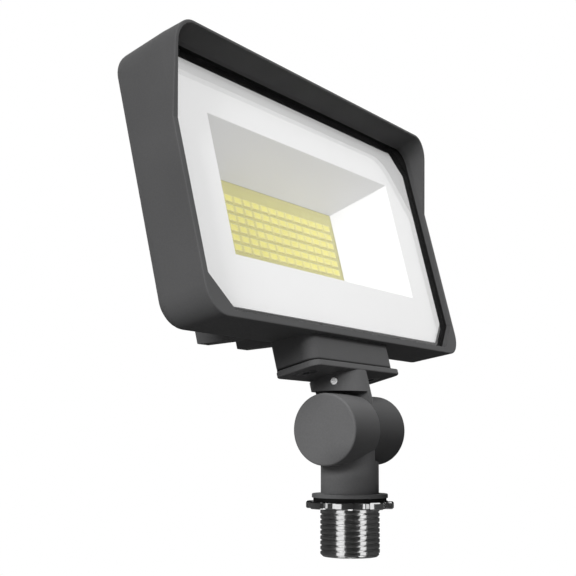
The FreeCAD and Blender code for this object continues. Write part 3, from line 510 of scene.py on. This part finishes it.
def lugged_outline():
    """Outline of the locknut, as points round its axis."""
    root = math.asin(NUT_LUG_HALF / NUT_RADIUS)
    tip = math.asin(NUT_LUG_HALF / NUT_LUG_RADIUS)
    pitch = 2 * math.pi / NUT_LUGS
    outline = []
    for index in range(NUT_LUGS):
        middle = (index + 0.5) * pitch
        for step in range(-NUT_LUG_STEPS, NUT_LUG_STEPS + 1):
            turn = middle + tip * step / NUT_LUG_STEPS
            outline.append((NUT_LUG_RADIUS * math.cos(turn), NUT_LUG_RADIUS * math.sin(turn)))
        for step in range(NUT_VALLEY_STEPS + 1):
            turn = middle + root + (pitch - 2 * root) * step / NUT_VALLEY_STEPS
            outline.append((NUT_RADIUS * math.cos(turn), NUT_RADIUS * math.sin(turn)))
    return outline


def drawn_in(outline, inset):
    """The outline moved inwards by an inset, corner by corner."""
    count = len(outline)
    inner = []
    for index in range(count):
        before = Vector(outline[index - 1])
        here = Vector(outline[index])
        after = Vector(outline[(index + 1) % count])
        first = (here - before).normalized()
        second = (after - here).normalized()
        inward = Vector((-first.y - second.y, first.x + second.x)).normalized()
        reach = inset / max(0.5, inward.dot(Vector((-first.y, first.x))))
        inner.append(tuple(here + inward * reach))
    return inner


def make_nut():
    """Locknut with lugs, broken edges and a countersunk hole."""
    outer = lugged_outline()
    inner = drawn_in(outer, NUT_EDGE)
    turns = [math.atan2(y, x) for x, y in outer]
    hole = [(NUT_HOLE * math.cos(turn), NUT_HOLE * math.sin(turn)) for turn in turns]
    wider = 1 + NUT_EDGE / NUT_HOLE
    mouth = [(x * wider, y * wider) for x, y in hole]
    sections = [
        (hole, NUT_HIGH - NUT_EDGE), (hole, NUT_LOW + NUT_EDGE),
        (mouth, NUT_LOW), (inner, NUT_LOW),
        (outer, NUT_LOW + NUT_EDGE), (outer, NUT_HIGH - NUT_EDGE),
        (inner, NUT_HIGH), (mouth, NUT_HIGH),
    ]
    rings = [[(x, y, height) for x, y in outline] for outline, height in sections]
    return loft(rings, closed=True)


points, faces = make_nut()
finish_piece("conduit_locknut", points, faces, [nut_zinc], "nut", ["locknut"],
             smooth=30.0)


def rounded_rectangle(half_x, half_u, radius):
    corners = ((1, -1, -90), (1, 1, 0), (-1, 1, 90), (-1, -1, 180))
    outline = []
    for side, level, first in corners:
        for step in range(LED_CORNER_STEPS + 1):
            turn = math.radians(first + 90 / LED_CORNER_STEPS * step)
            x = side * (half_x - radius) + radius * math.cos(turn)
            u = level * (half_u - radius) + radius * math.sin(turn)
            outline.append((x, u))
    return outline


def make_chips():
    """LED packages: cream body with a rounded rim, and the phosphor set below the rim."""
    points = []
    faces = []
    pick = []
    for column in range(LED_COLUMNS):
        for row in range(LED_ROWS):
            x0 = (column - (LED_COLUMNS - 1) / 2) * LED_PITCH_X
            u0 = LED_MIDDLE + (row - (LED_ROWS - 1) / 2) * LED_PITCH_U
            start = len(points)
            rings = []
            for inset, radius, depth in LED_SECTIONS:
                outline = rounded_rectangle(LED_HALF_X - inset * MM, LED_HALF_U - inset * MM,
                                            radius * MM)
                rings.append([head_point(x0 + x, depth, u0 + u) for x, u in outline])
            ring_points, ring_faces = loft(rings)
            count = len(rings[0])
            points.extend(ring_points)
            for index, face in enumerate(ring_faces):
                faces.append(tuple(start + corner for corner in face))
                pick.append(1 if index >= LED_PHOSPHOR_FROM * count else 0)
            last = len(points) - count
            faces.append(tuple(range(last, last + count)))
            pick.append(1)
            faces.append(tuple(start + corner for corner in reversed(range(count))))
            pick.append(0)
    return points, faces, pick


points, faces, pick = make_chips()
finish_piece("led_packages", points, faces, [package_white, phosphor], "head",
             ["led_chips"], smooth=50.0, pick=pick)


def make_arm_screws():
    """Countersunk screws with a hexagon socket, driven up through the arm's plate."""
    around = SCREW_STEPS
    length = ARM_SCREW_TOP - ARM_SCREW_LOW
    rings = [
        circle(ARM_SCREW_NECK * ARM_SCREW_TIP_SHARE, length, around),
        circle(ARM_SCREW_NECK, length - ARM_SCREW_TIP_LENGTH, around),
        circle(ARM_SCREW_NECK, ARM_SCREW_SINK, around),
        circle(ARM_SCREW_HEAD, ARM_SCREW_RIM, around),
        circle(ARM_SCREW_HEAD - ARM_SCREW_RIM, 0.0, around),
        hexagon(ARM_SOCKET_MOUTH, 0.0, around),
        hexagon(ARM_SOCKET_FLATS, ARM_SOCKET_LEAD, around),
        hexagon(ARM_SOCKET_FLATS, ARM_SOCKET_DEPTH, around),
    ]
    one, sides = capped(rings)
    points = []
    faces = []
    for side in (-1, 1):
        start = len(points)
        for x, v, u in one:
            points.append(head_point(x + side * ARM_SCREW_X, v + ARM_SCREW_V, u + ARM_SCREW_LOW))
        faces.extend(tuple(start + corner for corner in face) for face in sides)
    return points, faces


points, faces = make_arm_screws()
finish_piece("plate_screws", points, faces, [black_steel], "head",
             ["arm_screws"])


def make_set_screw():
    """Set screw with a hexagon socket, square to the neck's surface."""
    around = SCREW_STEPS
    rings = [
        circle(SET_SCREW_RADIUS * SET_SCREW_TIP_SHARE, -SET_SCREW_LENGTH, around),
        circle(SET_SCREW_RADIUS, -SET_SCREW_LENGTH + SET_SCREW_TIP_LENGTH, around),
        circle(SET_SCREW_RADIUS, -SET_SCREW_RIM, around),
        circle(SET_SCREW_RADIUS - SET_SCREW_RIM, 0.0, around),
        hexagon(SET_SOCKET_MOUTH, 0.0, around),
        hexagon(SET_SOCKET_FLATS, -SET_SOCKET_LEAD, around),
        hexagon(SET_SOCKET_FLATS, -SET_SOCKET_DEPTH, around),
    ]
    points, faces = capped(rings)
    out = Vector((math.cos(SET_SCREW_TURN), math.sin(SET_SCREW_TURN), 0.0))
    across = Vector((-out.y, out.x, 0.0))
    placed = []
    for a, b, c in points:
        spot = out * (SET_SCREW_FACE + c) + across * a
        placed.append(head_point(spot.x, spot.y, SET_SCREW_HEIGHT + b))
    return placed, faces


points, faces = make_set_screw()
finish_piece("neck_set_screw", points, faces, [screw_painted_highlight], "head", ["set_screw"])


def make_pane():
    """Glass with cut corners and a ground front edge, bedded a hair into the soft seal."""
    upright = (PANE_HALF, PANE_TALL - PANE_CORNER)
    level = (PANE_HALF - PANE_CORNER, PANE_TALL)
    outline = [upright, level, (-level[0], level[1]), (-upright[0], upright[1])]
    outline += [(-x, -u) for x, u in outline]
    sections = [
        (drawn_in(outline, PANE_EDGE), PANE_FRONT),
        (outline, PANE_FRONT + PANE_EDGE),
        (outline, PANE_BACK + PANE_BED),
    ]
    rings = [[head_point(x, depth, HEAD_MIDDLE + u) for x, u in ring] for ring, depth in sections]
    return capped(rings)


points, faces = make_pane()
finish_piece("lens_pane", points, faces, [lens_clear], "head", ["lens_glass"],
             smooth=20.0)


# Floor, lamps, world and camera

FLOOR_REACH = 1.1
FLOOR_LEVEL = -0.32
FLOOR_GLOW = 0.55
FLOOR_BOUNCE = 0.16
WORLD_SOFT = 0.09
STAGE_ROUGH = 0.9

# Radius and height of the flags' profile, and the sectors they fill in degrees
FLAG_REACH = 0.45
FLAG_PROFILE = [(0.014, -0.31), (FLAG_REACH, -0.31), (FLAG_REACH, 0.02), (0.0165, 0.009)]
FLAG_SECTORS = ((188, 249), (274, 517))
FLAG_STEP = 5

# First and last corner of each card in plan, and its lower and upper edge
SHADES = {
    "shade_key": ((-0.045, -0.05), (0.045, -0.05), -0.06, 0.062),
    "shade_side": ((-0.0593, -0.0087), (-0.0500, -0.0720), 0.018, 0.030),
}

# Place, target, diameter and power of each lamp
HEAD_TARGET = (0.0, 0.02, 0.08)
ARM_TARGET = (0.0, 0.0, 0.06)
LAMPS = {
    "key_lamp": ((-0.05, -1.25, 0.90), HEAD_TARGET, 0.6, 18.0),
    "side_lamp": ((-1.15, -0.17, 0.39), ARM_TARGET, 0.4, 14.2),
    "low_fill": ((-0.75, -0.45, -0.24), ARM_TARGET, 0.5, 1.3),
    "back_lamp": ((0.95, 0.95, 0.65), HEAD_TARGET, 0.6, 14.0),
}

# Found by fitting the part's corners to the photograph
CAMERA_PLACE = Vector((-0.36025, -0.20575, 0.02187))
CAMERA_AHEAD = Vector((0.83181, 0.53731, 0.13917))
CAMERA_ROLL = math.radians(-0.25)
CAMERA_SENSOR = 36.0
CAMERA_LENS = 70.625
CAMERA_NEAR = 0.01


def seen_directly(tree):
    """1 for a ray seen in the picture, in gloss or through glass, and 0 for bounced light."""
    path = add(tree, "ShaderNodeLightPath")
    seen = path.outputs["Is Camera Ray"]
    for kind in ("Is Glossy Ray", "Is Transmission Ray"):
        seen = calc(tree, "MAXIMUM", seen, path.outputs[kind])
    first = calc(tree, "LESS_THAN", path.outputs["Diffuse Depth"], 0.5)
    return calc(tree, "MULTIPLY", seen, first)


def stage_material(name, scale, detail, low, high):
    """Matt grey with faint specks between two levels."""
    mat, tree, shader = new_material(name)
    speck = noise(tree, coords(tree), scale, detail)
    stops = list(zip(NOISE_RANGE, (grey(low), grey(high))))
    tree.links.new(ramp(tree, speck, stops), shader.inputs["Base Color"])
    shader.inputs["Roughness"].default_value = STAGE_ROUGH
    return mat, tree, shader


def stage_object(name, points, faces, mat):
    mesh = bpy.data.meshes.new(name)
    mesh.from_pydata(points, [], faces)
    mesh.materials.append(mat)
    thing = bpy.data.objects.new(name, mesh)
    bpy.context.scene.collection.objects.link(thing)
    return thing


def make_floor():
    """Pale floor, white where it is seen and dim in the light that it throws back."""
    mat, tree, shader = stage_material("floor_pale", 30.0, 3.0, 0.80, 0.83)
    shader.inputs["Emission Color"].default_value = (*grey(1.0), 1.0)
    shader.inputs["Emission Strength"].default_value = FLOOR_GLOW
    mat.cycles.emission_sampling = "NONE"
    dim = add(tree, "ShaderNodeBsdfDiffuse", {"Color": (*grey(FLOOR_BOUNCE), 1.0)})
    surface = blend(tree, seen_directly(tree), dim.outputs["BSDF"], shader.outputs["BSDF"])
    tree.links.new(surface, tree.nodes["Material Output"].inputs["Surface"])
    signs = ((-1, -1), (1, -1), (1, 1), (-1, 1))
    points = [(x * FLOOR_REACH, y * FLOOR_REACH, FLOOR_LEVEL) for x, y in signs]
    stage_object("floor", points, [(0, 1, 2, 3)], mat)


def make_flags():
    """Dark cards round the stub, met by gloss alone, with two bright slots for its metal."""
    points = []
    faces = []
    width = len(FLAG_PROFILE)
    for first, last in FLAG_SECTORS:
        start = len(points)
        steps = int((last - first) / FLAG_STEP)
        for step in range(steps + 1):
            turn = math.radians(first + (last - first) * step / steps)
            for radius, height in FLAG_PROFILE:
                points.append((radius * math.cos(turn), radius * math.sin(turn), height))
        for step in range(steps):
            for level in range(width - 1):
                low = start + step * width + level
                faces.append((low, low + width, low + width + 1, low + 1))
    mat = stage_material("flag_dark", 60.0, 2.0, 0.07, 0.09)[0]
    flags = stage_object("flags", points, faces, mat)
    flags.visible_camera = False
    flags.visible_diffuse = False
    flags.visible_transmission = False
    flags.visible_shadow = False


def make_shades():
    """Cards, met by shadow rays alone, that keep part of two lamps' light off the arm."""
    mat = stage_material("shade_dark", 60.0, 2.0, 0.045, 0.06)[0]
    for name, (first, last, low, high) in SHADES.items():
        points = [(*first, low), (*last, low), (*last, high), (*first, high)]
        card = stage_object(name, points, [(0, 1, 2, 3)], mat)
        card.visible_camera = False
        card.visible_diffuse = False
        card.visible_glossy = False
        card.visible_transmission = False


def make_lamps():
    """Soft lamps that don't show in gloss or glass."""
    for name, (place, target, size, power) in LAMPS.items():
        data = bpy.data.lights.new(name, "AREA")
        data.shape = "DISK"
        data.size = size
        data.energy = power
        lamp = bpy.data.objects.new(name, data)
        lamp.location = place
        ahead = Vector(target) - Vector(place)
        lamp.rotation_euler = ahead.to_track_quat("-Z", "Y").to_euler()
        lamp.visible_glossy = False
        lamp.visible_transmission = False
        bpy.context.scene.collection.objects.link(lamp)


def make_world():
    """White behind the object and in gloss and glass, softer on the object itself."""
    world = bpy.data.worlds.new("studio")
    world.use_nodes = True
    tree = world.node_tree
    soft = tree.nodes["Background"]
    soft.inputs["Color"].default_value = (*grey(1.0), 1.0)
    soft.inputs["Strength"].default_value = WORLD_SOFT
    white = add(tree, "ShaderNodeBackground", {"Color": (*grey(1.0), 1.0), "Strength": 1.0})
    surface = blend(tree, seen_directly(tree), soft.outputs["Background"],
                    white.outputs["Background"])
    tree.links.new(surface, tree.nodes["World Output"].inputs["Surface"])
    bpy.context.scene.world = world


def make_camera():
    """Camera at the photograph's place, angle and lens."""
    ahead = CAMERA_AHEAD.normalized()
    level = ahead.cross(Vector((0, 0, 1))).normalized()
    down = ahead.cross(level).normalized()
    right = level * math.cos(CAMERA_ROLL) + down * math.sin(CAMERA_ROLL)
    under = down * math.cos(CAMERA_ROLL) - level * math.sin(CAMERA_ROLL)
    data = bpy.data.cameras.new("camera")
    data.sensor_width = CAMERA_SENSOR
    data.lens = CAMERA_LENS
    data.clip_start = CAMERA_NEAR
    camera = bpy.data.objects.new("camera", data)
    turn = Matrix((right, -under, -ahead)).transposed().to_4x4()
    camera.matrix_world = Matrix.Translation(CAMERA_PLACE) @ turn
    bpy.context.scene.collection.objects.link(camera)
    bpy.context.scene.camera = camera


make_floor()
make_flags()
make_shades()
make_lamps()
make_world()
make_camera()
bpy.context.scene.view_settings.view_transform = "Standard"
